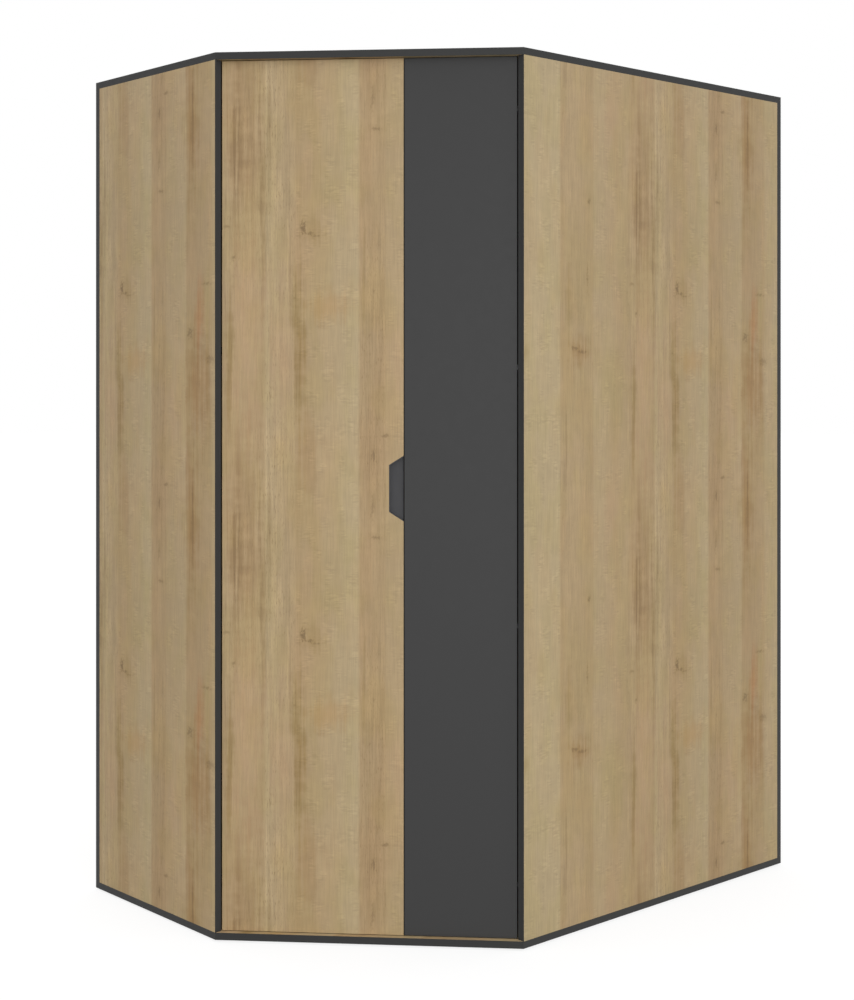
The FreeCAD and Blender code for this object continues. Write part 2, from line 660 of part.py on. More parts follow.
def hinge_cup(side, index, z):
    tag = f"{side}_hinge_{index}"
    centre = from_edge(side, "sizes.cup_from_edge")
    floor = "layout.door_back - sizes.cup_depth"
    height = "sizes.cup_depth + sizes.cup_flange"
    wall = rod(f"{tag}_cup_wall", "sizes.cup_radius", height, (centre, floor, z), "+Y")
    flange = block(
        f"{tag}_cup_flange", around(centre, "sizes.cup_flange_width"),
        ("layout.door_back", "layout.door_back + sizes.cup_flange"), around(z, "sizes.cup_flange_height"))
    hollow = rod(
        f"{tag}_cup_hollow", "sizes.cup_radius - sizes.cup_wall", height,
        (centre, f"{floor} + sizes.cup_wall", z), "+Y")
    pivot_at = (
        from_edge(side, "sizes.pivot_from_edge"), "layout.pivot_depth", f"{z} - layout.pivot_half")
    pivot = rod(f"{tag}_pivot", "sizes.pivot_radius", "2 * layout.pivot_half", pivot_at)
    pivot_hole = rod(f"{tag}_pivot_hole", "sizes.pivot_radius + sizes.pivot_clearance",
                     "2 * layout.pivot_half", pivot_at)
    tools = [hollow, pivot_hole]
    for half in "+-":
        name = f"{tag}_cup_screw_{'upper' if half == '+' else 'lower'}"
        at = (centre, "layout.door_back + sizes.cup_flange", f"{z} {half} sizes.cup_screw_spacing / 2")
        screw_in(name, at, "-Y", SIDES[side][4], cup_screws[side])
        tools.append(holes[SIDES[side][4]][-1])
    cup = cut(f"{tag}_cup", fuse(f"{tag}_cup_blank", [wall, flange]), tools)
    node(on_front(cup), f"{side}_hinge_cup_{index}")
    pivots[side].append(pivot)
    bore = rod(f"{tag}_cup_bore", "sizes.cup_radius + sizes.fit_gap", "sizes.cup_depth + sizes.fit_gap",
               (centre, "layout.door_back", z), "-Y")
    holes[SIDES[side][4]].append(bore)


# Place of a point on an upright's inner face: depth from its front edge and distance off the face.
def on_panel(side, depth, off_face):
    if side == "oak":
        return f"layout.left_end_depth - ({depth})", f"sizes.board + ({off_face})"
    return f"layout.inner_x - ({off_face})", f"sizes.corner_cut_y + ({depth})"


def panel_block(name, side, depths, offsets, z):
    first = on_panel(side, depths[1], offsets[1])
    last = on_panel(side, depths[0], offsets[0])
    return carcass_block(name, (first[0], last[0]), (last[1], first[1]), z)


def hinge_arm(side, index, z):
    tag = f"{side}_hinge_{index}"
    half = "sizes.arm_thickness / 2"
    widths = around(z, "sizes.arm_width")
    cuts = ("sizes.corner_cut_y", "sizes.corner_cut_x")
    across, along = cuts if side == "oak" else cuts[::-1]
    sine = f"{across} / layout.front_width"
    cosine = f"{along} / layout.front_width"
    run_depth = (
        f"(layout.arm_depth - sizes.board * {cosine} - sizes.arm_standoff * {cosine}) / ({sine})")
    bend = f"({run_depth}) * {cosine} + sizes.hinge_gap - sizes.arm_standoff * {sine}"
    eye_at = (
        from_edge(side, "sizes.pivot_from_edge"), "layout.pivot_depth", f"{z} - sizes.arm_width / 2")
    eye = rod(f"{tag}_eye", "sizes.eye_radius", "sizes.arm_width", eye_at)
    eye_hole = rod(f"{tag}_eye_hole", "sizes.pivot_radius + sizes.pivot_clearance", "sizes.arm_width", eye_at)
    riser_far = f"sizes.arm_riser_from_edge + {half}"
    tip_leg = block(
        f"{tag}_tip_leg", edge_span(side, "sizes.pivot_from_edge", riser_far),
        (f"layout.pivot_depth - {half}", f"layout.pivot_depth + {half}"), widths)
    riser = block(
        f"{tag}_riser", edge_span(side, f"sizes.arm_riser_from_edge - {half}", riser_far),
        (f"layout.pivot_depth - {half}", f"layout.arm_depth + {half}"), widths)
    base_leg = block(
        f"{tag}_base_leg", edge_span(side, f"-({bend})", riser_far),
        (f"layout.arm_depth - {half}", f"layout.arm_depth + {half}"), widths)
    knuckle = rod(f"{tag}_knuckle", half, "sizes.arm_width",
                  (from_edge(side, f"-({bend})"), "layout.arm_depth", f"{z} - sizes.arm_width / 2"))
    crank = on_front(cut(f"{tag}_crank", fuse(f"{tag}_crank_blank", [eye, tip_leg, riser, base_leg, knuckle]),
                         [eye_hole]))
    offsets = (f"sizes.arm_standoff - {half}", f"sizes.arm_standoff + {half}")
    rail = panel_block(f"{tag}_rail", side, (run_depth, "sizes.plate_far"), offsets, widths)
    screw_depth = "(sizes.plate_near + sizes.plate_far) / 2"
    screw_at = in_carcass((*on_panel(side, screw_depth, offsets[1]), z))
    into = {"oak": "-Y", "graphite": "+X"}[side]
    arm_screws.append(copy_of(arm_screw, f"{tag}_arm_screw", screw_at, into))
    arm_screw_bore = copy_of(arm_screw_hole, f"{tag}_arm_screw_hole", screw_at, into)
    arm = cut(f"{tag}_arm", fuse(f"{tag}_arm_blank", [crank, rail]), [arm_screw_bore])
    node(arm, f"{side}_hinge_arm_{index}")
    pedestal = panel_block(
        f"{tag}_pedestal", side, ("sizes.plate_near", "sizes.plate_far"), ("0", offsets[0]),
        around(z, "sizes.plate_width"))
    wing = panel_block(
        f"{tag}_wing", side, around(screw_depth, "sizes.plate_wing_length"), ("0", "sizes.plate_wing"),
        around(z, "sizes.plate_wing_height"))
    tools = [arm_screw_bore]
    for side_of_arm in "+-":
        name = f"{tag}_plate_screw_{'upper' if side_of_arm == '+' else 'lower'}"
        height = f"{z} {side_of_arm} sizes.plate_screw_spacing / 2"
        at = in_carcass((*on_panel(side, screw_depth, "sizes.plate_wing"), height))
        screw_in(name, at, into, SIDES[side][3], fitting_screws)
        tools.append(holes[SIDES[side][3]][-1])
    plates.append(cut(f"{tag}_plate", fuse(f"{tag}_plate_blank", [pedestal, wing]), tools))


arm_screw_blank = fuse("arm_screw_blank", [
    rod("arm_screw_shank", "sizes.arm_screw_radius", "sizes.arm_screw_length", ("0", "0", "0")),
    rod("arm_screw_head", "sizes.arm_screw_head_radius", "sizes.arm_screw_head",
        ("0", "0", "-sizes.arm_screw_head")),
])
arm_screw = cut("arm_screw", arm_screw_blank, cross_recess("arm_screw", "-sizes.arm_screw_head"))
arm_screw_hole = rod("arm_screw_hole", "sizes.arm_screw_radius + sizes.fit_gap",
                     "sizes.arm_screw_length + sizes.fit_gap", ("0", "0", "0"))
arm_screws = []
plates = []
pivots = {"oak": [], "graphite": []}
cup_screws = {"oak": [], "graphite": []}
for side in SIDES:
    for index, z in enumerate(hinge_heights, start=1):
        hinge_cup(side, index, z)
        hinge_arm(side, index, z)
    node(on_front(group(f"{side}_pivot_group", pivots[side])), f"{side}_hinge_pins")
    node(on_front(group(f"{side}_cup_screw_group", cup_screws[side])), f"{side}_hinge_cup_screws")
node(group("plate_group", plates), "hinge_plates")
node(group("arm_screw_group", arm_screws), "hinge_arm_screws")
node(group("fitting_screw_group", fitting_screws), "fitting_screws")

# Door stops: a block at the top and one at the bottom, behind the meeting line of the doors.
seam = "(layout.seam_left + layout.seam_right) / 2"
stop_front = "layout.door_back + sizes.bumper_gap + sizes.bumper_height"
stops = []
bumpers = []
STOPS = {
    "top_board": ("layout.ceiling - sizes.stop_height", "layout.ceiling", "layout.ceiling", "+Z"),
    "bottom_board": ("layout.floor_top", "layout.floor_top + sizes.stop_height", "layout.floor_top", "-Z"),
}
for board, (low, high, seat, into) in STOPS.items():
    stop = block(f"{board}_stop", around(seam, "sizes.stop_width"),
                 (stop_front, f"{stop_front} + sizes.stop_depth"), (low, high))
    peg_at = (seam, f"{stop_front} + sizes.stop_depth / 2", seat)
    peg = rod(f"{board}_stop_peg", "sizes.stop_peg_radius", "sizes.stop_peg_length", peg_at, into)
    stops.append(fuse(f"{board}_stop_block", [stop, peg]))
    peg_hole = on_front(group(f"{board}_stop_hole", [
        rod(f"{board}_stop_bore", "sizes.stop_peg_radius + sizes.fit_gap",
            "sizes.stop_peg_length + sizes.fit_gap", peg_at, into)]))
    holes[board].append(peg_hole)
    for half in "+-":
        bumper_at = (f"{seam} {half} sizes.bumper_spacing / 2", stop_front, f"({low} + {high}) / 2")
        name = f"{board}_bumper_{'right' if half == '+' else 'left'}"
        bumpers.append(rod(name, "sizes.bumper_radius", "sizes.bumper_height", bumper_at, "-Y"))
node(on_front(group("stop_group", stops)), "door_stops")
node(on_front(group("bumper_group", bumpers)), "door_bumpers")


def from_front(distance):
    return f"sizes.door_setback + ({distance})"


# Space of the finger pull, as a trapezoid from the front and with an undercut inner wall from above.
def pull_form(name, grow, overrun, near, far):
    free = f"layout.seam_left + {overrun}"
    deep_reach = f"sizes.notch_width + {grow} + sizes.pull_undercut * ({far}) / sizes.pull_depth"
    near_reach = f"sizes.notch_width + {grow} + sizes.pull_undercut * ({near}) / sizes.pull_depth"
    rise = f"({grow}) * sqrt(1 + layout.notch_slope^2)"
    half_at_free = f"sizes.notch_height / 2 + {rise} + layout.notch_slope * ({overrun})"
    half_inside = f"sizes.notch_height / 2 + {rise} - layout.notch_slope * ({deep_reach})"
    inside = f"layout.seam_left - ({deep_reach})"
    trapezoid = prism(f"{name}_front_form", "XZ_Plane", [[
        (inside, f"sizes.notch_centre - ({half_inside})"),
        (free, f"sizes.notch_centre - ({half_at_free})"),
        (free, f"sizes.notch_centre + ({half_at_free})"),
        (inside, f"sizes.notch_centre + ({half_inside})"),
    ]], from_front(far), against_normal=True)
    plan = prism(f"{name}_plan_form", "XY_Plane", [[
        (f"layout.seam_left - ({near_reach})", from_front(near)),
        (free, from_front(near)),
        (free, from_front(far)),
        (inside, from_front(far)),
    ]], "layout.door_high")
    return common(name, trapezoid, plan)


past_edge = "sizes.edging"
pull_back = "sizes.door_board"
pull_outside = pull_form("pull_outside", "0", "0", "0", pull_back)
pull_hollow = pull_form("pull_hollow", "-sizes.pull_wall", past_edge, "-sizes.edging", "sizes.pull_depth")
pull_cutter = pull_form(
    "pull_cutter", "sizes.fit_gap", past_edge, "-sizes.edging", f"{pull_back} + sizes.edging")
node(on_front(cut("pull_dish", pull_outside, [pull_hollow])), "finger_pull")

# Doors: a board with a thin edging strip all round, drilled from behind for its hinge cups.
DOORS = {
    "oak_door": ("layout.door_left", "layout.seam_left", [pull_cutter]),
    "graphite_door": ("layout.seam_right", "layout.door_right", []),
}
depth = ("sizes.door_setback", "layout.door_back")
for door, (left, right, cutters) in DOORS.items():
    whole = block(f"{door}_whole", (left, right), depth, ("layout.door_low", "layout.door_high"))
    core_x = (f"{left} + sizes.edging", f"{right} - sizes.edging")
    core_z = ("layout.door_low + sizes.edging", "layout.door_high - sizes.edging")
    core = block(f"{door}_core", core_x, depth, core_z)
    node(on_front(cut(f"{door}_drilled", core, holes[door] + cutters)), door)
    node(on_front(cut(f"{door}_strip", whole, [core] + cutters)), f"{door}_edging")

# Boards of the carcass, each cut by all of its holes.
BOARD_LEVELS = {"bottom_board": "sizes.glide_height", "top_board": "layout.ceiling"}
for board, level in BOARD_LEVELS.items():
    core = prism(f"{board}_core", "XY_Plane", [outline("sizes.edging")], "sizes.board")
    strip = prism(f"{board}_strip", "XY_Plane", [outline("0"), outline("sizes.edging")], "sizes.board")
    for piece in (core, strip):
        place(piece, "layout.corner_x", "layout.corner_y", level)
    node(cut(f"{board}_drilled", core, holes[board]), board)
    node(strip, f"{board}_edging")

tall = ("layout.floor_top", "layout.ceiling")
end_of_short = "sizes.short_wall - sizes.edging"
end_of_left = "layout.left_end_depth - sizes.edging"
start_of_right = "sizes.corner_cut_y + sizes.edging"
partition_span = ("layout.partition_y", "layout.hanging_y")
short_back_span = ("layout.inner_y", "sizes.long_wall")
PANELS = {
    "left_end_panel": (("sizes.board", end_of_left), ("0", "sizes.board")),
    "right_side_panel": (("layout.inner_x", "sizes.short_wall"), (start_of_right, "layout.inner_y")),
    "long_back_panel": (("0", "sizes.board"), ("sizes.edging", "sizes.long_wall")),
    "short_back_panel": (("sizes.board", end_of_short), short_back_span),
    "partition": (("sizes.board", "layout.partition_front - sizes.edging"), partition_span),
}
for panel, (x, y) in PANELS.items():
    node(cut(f"{panel}_drilled", carcass_block(f"{panel}_core", x, y, tall), holes[panel]), panel)
node(cut("hat_shelf_drilled", hat_blank, holes["hat_shelf"]), "hat_shelf")
STRIPS = {
    "left_end_edging": ((end_of_left, "layout.left_end_depth"), ("0", "sizes.board")),
    "right_side_edging": (("layout.inner_x", "sizes.short_wall"), ("sizes.corner_cut_y", start_of_right)),
    "partition_edging": (("layout.partition_front - sizes.edging", "layout.partition_front"), partition_span),
}
for strip, (x, y) in STRIPS.items():
    node(carcass_block(f"{strip}_piece", x, y, tall), strip)
node(group("back_edging_group", [
    carcass_block("long_back_edge", ("0", "sizes.board"), ("0", "sizes.edging"), tall),
    carcass_block("short_back_edge", (end_of_short, "sizes.short_wall"), short_back_span, tall),
]), "back_edging")

doc.recompute()
for thing in doc.Objects:
    if "Invalid" in thing.State or "Error" in thing.State:
        raise RuntimeError(f"{thing.Name} failed: {thing.State}")
for thing in nodes:
    if thing.Shape.isNull() or not thing.Shape.isValid() or not thing.Shape.Solids:
        raise RuntimeError(f"{thing.Label} has no valid solid")

os.makedirs("parts", exist_ok=True)
for thing in nodes:
    thing.Shape.exportStep(f"parts/{thing.Label}.step")
    print(thing.Label, len(thing.Shape.Solids), round(thing.Shape.Volume))
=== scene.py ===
import math
import bpy
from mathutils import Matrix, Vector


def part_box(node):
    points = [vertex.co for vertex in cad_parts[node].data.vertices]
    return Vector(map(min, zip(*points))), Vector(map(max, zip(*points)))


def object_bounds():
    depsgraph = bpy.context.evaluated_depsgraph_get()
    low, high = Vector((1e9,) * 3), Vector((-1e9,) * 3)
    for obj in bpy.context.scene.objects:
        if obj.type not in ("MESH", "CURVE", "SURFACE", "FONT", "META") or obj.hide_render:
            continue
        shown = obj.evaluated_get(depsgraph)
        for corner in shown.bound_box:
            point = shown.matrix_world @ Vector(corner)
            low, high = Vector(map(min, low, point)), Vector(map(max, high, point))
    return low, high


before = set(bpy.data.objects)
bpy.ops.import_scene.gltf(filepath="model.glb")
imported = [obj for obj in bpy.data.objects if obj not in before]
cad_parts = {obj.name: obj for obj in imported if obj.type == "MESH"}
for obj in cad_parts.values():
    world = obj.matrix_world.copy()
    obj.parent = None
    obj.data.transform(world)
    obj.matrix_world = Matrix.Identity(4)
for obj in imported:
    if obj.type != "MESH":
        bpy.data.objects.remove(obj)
cad_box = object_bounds()


# Glides: low black discs of moulded polypropylene, pushed into holes under the bottom board.
# Their skin is finely eroded, as tool steel leaves it, so they look matt and slightly mottled.

MM = 1000.0
RELIEF_STRENGTH = 0.6
CLOUD_SIZE = 14.0
SKIN_ROUGHNESS_REACH = 0.06
PIT_DEPTH_SHARE = 1 / 8
WELD_REACH = 0.01
SHARP_ANGLE = 50.0


def linear(red, green, blue):
    """Colour as it is seen, 0 to 255 a channel, as the linear colour that a shader takes."""
    seen = [channel / 255 for channel in (red, green, blue)]
    return [c / 12.92 if c <= 0.04045 else ((c + 0.055) / 1.055) ** 2.4 for c in seen] + [1.0]


def add(tree, kind, inputs=None, **settings):
    """New node in a tree: settings are its own fields, inputs are links or plain values by socket."""
    made = tree.nodes.new(kind)
    for field, value in settings.items():
        setattr(made, field, value)
    for socket, value in (inputs or {}).items():
        if isinstance(value, bpy.types.NodeSocket):
            tree.links.new(value, made.inputs[socket])
        else:
            made.inputs[socket].default_value = value
    return made


def work_out(tree, operation, first, second=0.0):
    """One sum on two numbers or links."""
    return add(tree, "ShaderNodeMath", {0: first, 1: second}, operation=operation).outputs[0]


def remap(tree, value, low, high, to_low=0.0, to_high=1.0):
    """Smooth step of a value from one range to another."""
    inputs = {"Value": value, "From Min": low, "From Max": high, "To Min": to_low, "To Max": to_high}
    return add(tree, "ShaderNodeMapRange", inputs, interpolation_type="SMOOTHSTEP").outputs[0]


def drift(tree, noise, reach, middle=0.0, spread=0.2):
    """Value that follows a noise, which strays by its spread, so far to either side of a middle."""
    return remap(tree, noise, 0.5 - spread, 0.5 + spread, middle - reach, middle + reach)


def blend_colours(tree, share, first, second, mode="MIX"):
    """Two colours laid over each other by a share."""
    mix = add(tree, "ShaderNodeMix", {0: share, 6: first, 7: second}, data_type="RGBA", blend_type=mode)
    return mix.outputs[2]


def spots(tree, place, size, detail=3.0, seed=0.0):
    """Noise whose spots measure so many millimetres along x, y and z."""
    inputs = {"Vector": place, "Location": (seed, 0.0, 0.0), "Scale": [1 / length for length in size]}
    sized = add(tree, "ShaderNodeMapping", inputs).outputs[0]
    return add(tree, "ShaderNodeTexNoise", {"Vector": sized, "Scale": 1.0, "Detail": detail}).outputs["Fac"]


def new_group(name, inputs, outputs):
    """Empty shader group with its named sockets, its input node and its output node."""
    tree = bpy.data.node_groups.new(name, "ShaderNodeTree")
    for socket, kind in inputs.items():
        tree.interface.new_socket(socket, in_out="INPUT", socket_type=kind)
    for socket, kind in outputs.items():
        tree.interface.new_socket(socket, in_out="OUTPUT", socket_type=kind)
    return tree, tree.nodes.new("NodeGroupInput").outputs, tree.nodes.new("NodeGroupOutput").inputs


def new_finish(name, constants, turn=(0.0, 0.0, 0.0), shift=(0.0, 0.0, 0.0)):
    """Empty finish: its tree, its shader with constants set, and the place on the object in millimetres."""
    material = bpy.data.materials.new(name)
    material.use_nodes = True
    tree = material.node_tree
    shader = tree.nodes["Principled BSDF"]
    for socket, value in constants.items():
        shader.inputs[socket].default_value = value
    on_object = add(tree, "ShaderNodeTexCoord").outputs["Object"]
    turned = [math.radians(angle) for angle in turn]
    inputs = {"Vector": on_object, "Location": shift, "Rotation": turned, "Scale": (MM, MM, MM)}
    place = add(tree, "ShaderNodeMapping", inputs).outputs[0]
    return material, tree, shader, place


def raise_surface(tree, shader, height, depth_mm):
    """Relief of a finish, so many millimetres deep."""
    relief = {"Height": height, "Strength": RELIEF_STRENGTH, "Distance": depth_mm / MM}
    tree.links.new(add(tree, "ShaderNodeBump", relief).outputs[0], shader.inputs["Normal"])


def make_eroded_skin():
    """Skin of a moulding or casting: fine pits on broader cloudy spots."""
    sockets = {"Place": "NodeSocketVector", "Pit Size": "NodeSocketFloat"}
    tree, given, put_out = new_group("eroded skin", sockets,
                                     {"Cloud": "NodeSocketFloat", "Height": "NodeSocketFloat"})
    finer = work_out(tree, "DIVIDE", 1.0, given["Pit Size"])
    pits = add(tree, "ShaderNodeTexNoise", {"Vector": given["Place"], "Scale": finer, "Detail": 2.0})
    cloud = spots(tree, given["Place"], (CLOUD_SIZE, CLOUD_SIZE, CLOUD_SIZE), detail=4.0)
    tree.links.new(cloud, put_out["Cloud"])
    tree.links.new(pits.outputs["Fac"], put_out["Height"])
    return tree


eroded_skin = make_eroded_skin()


def moulded(name, dark, light, roughness, specular=0.3, pit_mm=0.5):
    """Moulded plastic or rubber, its colour drifting between two near shades."""
    material, tree, shader, place = new_finish(name, {"Specular IOR Level": specular})
    skin = add(tree, "ShaderNodeGroup", node_tree=eroded_skin)
    tree.links.new(place, skin.inputs["Place"])
    skin.inputs["Pit Size"].default_value = pit_mm
    cloud = skin.outputs["Cloud"]
    tree.links.new(blend_colours(tree, cloud, linear(*dark), linear(*light)), shader.inputs["Base Color"])
    rough = drift(tree, cloud, SKIN_ROUGHNESS_REACH, middle=roughness, spread=0.3)
    tree.links.new(rough, shader.inputs["Roughness"])
    raise_surface(tree, shader, skin.outputs["Height"], pit_mm * PIT_DEPTH_SHARE)
    return material


def finish(material, *nodes):
    """Gives CAD pieces their finish."""
    for name in nodes:
        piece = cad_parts[name]
        piece.data.materials.clear()
        piece.data.materials.append(material)


def soften(radius_mm, *nodes):
    """Rounds the sharp edges of CAD pieces, once their loose triangles are welded."""
    for name in nodes:
        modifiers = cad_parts[name].modifiers
        modifiers.new("weld", "WELD").merge_threshold = WELD_REACH / MM
        rounding = modifiers.new("rounding", "BEVEL")
        rounding.width = radius_mm / MM
        rounding.segments = 2
        rounding.limit_method = "ANGLE"
        rounding.angle_limit = math.radians(SHARP_ANGLE)


finish(moulded("black polypropylene", (26, 26, 27), (33, 33, 34), roughness=0.62), "glides")
soften(0.8, "glides")


# Bottom board: five-sided melamine chipboard that carries the uprights, oak print on both faces.
# The print comes off a roller, so it repeats up the board: staves side by side, some a little paler to
# one edge, then heart streaks and patches, then stripes, pores, rays and knots.

ROLLER_ROUND = 897.0
PRINT_TONES = {
    "straw": (175, 156, 122),
    "buff": (173, 152, 118),
    "sand": (170, 147, 112),
    "tan": (166, 142, 107),
    "pink": (181, 151, 118),
    "moss": (165, 148, 98),
    "amber": (172, 134, 84),
    "rust": (151, 116, 71),
    "fox": (170, 110, 66),
    "olive": (140, 116, 70),
    "umber": (112, 86, 52),
    "bark": (84, 62, 40),
}

# Each stave: its width, its tone at the left and at the right, and how strongly it is striped.
PRINT_STAVES = [
    (120, "straw", "straw", 0.1),
    (112, "sand", "sand", 0.5),
    (118, "buff", "sand", 0.15),
    (105, "sand", "sand", 0.55),
    (67, "buff", "sand", 1.0),
    (140, "tan", "straw", 0.1),
    (58, "tan", "tan", 0.8),
    (80, "sand", "buff", 0.15),
    (60, "tan", "tan", 0.4),
    (36, "tan", "sand", 0.25),
    (72, "buff", "straw", 0.1),
]
PRINT_WIDTH = sum(width for width, *_ in PRINT_STAVES)
STAVE_EDGE = 1.5

# Each streak or patch: its place across and up the print, half its width and height, tone and strength.
PRINT_MARKS = [
    (412, 800, 66, 400, "rust", 0.3),
    (398, 722, 36, 105, "umber", 0.26),
    (392, 780, 9, 240, "umber", 0.3),
    (447, 600, 8, 420, "umber", 0.38),
    (412, 327, 62, 300, "pink", 0.55),
    (378, 270, 11, 230, "olive", 0.55),
    (492, 297, 38, 280, "pink", 0.4),
    (531, 307, 19, 240, "olive", 0.85),
    (550, 60, 44, 130, "rust", 0.3),
    (594, 385, 66, 54, "amber", 0.4),
    (560, 550, 34, 40, "olive", 0.3),
    (610, 690, 70, 160, "moss", 0.2),
    (300, 300, 60, 200, "moss", 0.2),
    (300, 20, 60, 180, "pink", 0.3),
    (694, 20, 34, 330, "rust", 0.08),
    (676, 440, 6, 210, "olive", 0.35),
    (760, 250, 48, 220, "pink", 0.3),
    (148, 520, 18, 150, "olive", 0.35),
    (138, 197, 7, 130, "umber", 0.25),
    (184, 402, 54, 46, "rust", 0.55),
    (820, 30, 36, 260, "rust", 0.58),
    (826, 10, 7, 200, "umber", 0.45),
    (848, 477, 22, 110, "fox", 0.42),
    (844, 327, 54, 150, "rust", 0.62),
    (880, 520, 24, 130, "moss", 0.3),
    (4, 404, 36, 24, "olive", 0.3),
]
STREAK_TEAR = 0.28
CLOUD_TEAR = 0.15

# Each knot: its place across and up the print, half its width and height, and strength.
PRINT_KNOTS = [
    (538, 559, 6, 16, 0.6),
    (551, 546, 11, 5, 0.45),
    (568, 541, 13, 3, 0.3),
    (213, 744, 6, 8, 0.4),
    (216, 575, 4, 28, 0.35),
    (166, 412, 13, 6, 0.4),
    (194, 404, 18, 5, 0.35),
    (702, 775, 14, 5, 0.4),
    (691, 840, 4, 30, 0.25),
    (370, 563, 8, 4, 0.3),
    (386, 494, 5, 6, 0.35),
    (697, 57, 6, 15, 0.4),
    (722, 102, 10, 6, 0.35),
    (815, 447, 13, 14, 0.4),
    (874, 555, 20, 4, 0.35),
    (888, 387, 16, 11, 0.3),
]
KNOT_TEAR = 0.45
KNOT_STAIN = 0.35

# Each noise of the print: the size of its spots across and up, its detail and its seed.
PRINT_NOISES = {
    "striped patches": (70, 210, 3, 47),
    "sway": (70, 170, 3, 7),
    "streaks": (7, 260, 4, 11),
    "clouds": (34, 24, 5, 19),
    "fibres": (2.2, 60, 3, 23),
    "yellowing": (60, 150, 3, 3),
    "rosiness": (48, 190, 3, 41),
    "broad shading": (85, 200, 3, 59),
    "pores": (1.1, 12, 2, 29),
    "ray patches": (24, 40, 2, 31),
    "rays": (17, 4, 3, 37),
    "crumbs": (5, 7, 4, 53),
}
GRAIN_SWAY = 5.0
YELLOWED = (0.975, 0.985, 0.91, 1.0)
ROSY = (1.015, 0.985, 0.965, 1.0)
STRIPE_DEPTH = 0.11
FIBRE_DEPTH = 0.12
SHADING_DEPTH = 0.03
CLOUD_DEPTH = 0.035
PORE_STRENGTH = 0.6
PORE_DEPTH = 0.08
RAY_DARK = -0.09
RAY_PALE = 0.10


def wrap_on_roller(tree, place):
    """Place across the print kept as it is, and the place up the print carried round the roller."""
    split = add(tree, "ShaderNodeSeparateXYZ", {0: place}).outputs
    radius = ROLLER_ROUND / (2 * math.pi)
    angle = work_out(tree, "DIVIDE", split[2], radius)
    sine = work_out(tree, "MULTIPLY", work_out(tree, "SINE", angle), radius)
    cosine = work_out(tree, "MULTIPLY", work_out(tree, "COSINE", angle), radius)
    return add(tree, "ShaderNodeCombineXYZ", {0: split[0], 1: sine, 2: cosine}).outputs[0], split[0]


def stave_ramp(tree, across):
    """Tone of the stave at a place across the print, and how strongly that stave is striped."""
    share = work_out(tree, "FRACT", work_out(tree, "DIVIDE", across, PRINT_WIDTH))
    ramp = add(tree, "ShaderNodeValToRGB", {0: share})
    stops = []
    left = 0.0
    for width, left_tone, right_tone, striping in PRINT_STAVES:
        stops.append((left + STAVE_EDGE, left_tone, striping))
        stops.append((left + width - STAVE_EDGE, right_tone, striping))
        left += width
    elements = ramp.color_ramp.elements
    while len(elements) < len(stops):
        elements.new(1.0)
    for element, (position, tone, striping) in zip(elements, stops):
        element.position = position / PRINT_WIDTH
        element.color = linear(*PRINT_TONES[tone])[:3] + [striping]
    return ramp.outputs["Color"], ramp.outputs["Alpha"]


def distance_from(tree, place, across, height, half_width, half_height, tear):
    """Distance from the middle of a mark, one at its edge, torn by a noise and repeated with the print."""
    move = {0: place, 1: (across, 0.0, height)}
    away = add(tree, "ShaderNodeVectorMath", move, operation="SUBTRACT").outputs[0]
    reach = (PRINT_WIDTH / 2, 1.0, ROLLER_ROUND / 2)
    ends = {0: away, 1: reach, 2: [-half for half in reach]}
    nearest = add(tree, "ShaderNodeVectorMath", ends, operation="WRAP").outputs[0]
    shape = {0: nearest, 1: (1 / half_width, 0.0, 1 / half_height)}
    sized = add(tree, "ShaderNodeVectorMath", shape, operation="MULTIPLY").outputs[0]
    length = add(tree, "ShaderNodeVectorMath", {0: sized}, operation="LENGTH").outputs["Value"]
    return work_out(tree, "ADD", length, tear)


def shade(tree, colour, amount):
    """Colour made lighter or darker by a small share."""
    level = work_out(tree, "ADD", 1.0, amount)
    grey = add(tree, "ShaderNodeCombineColor", {0: level, 1: level, 2: level}).outputs[0]
    return blend_colours(tree, 1.0, colour, grey, "MULTIPLY")


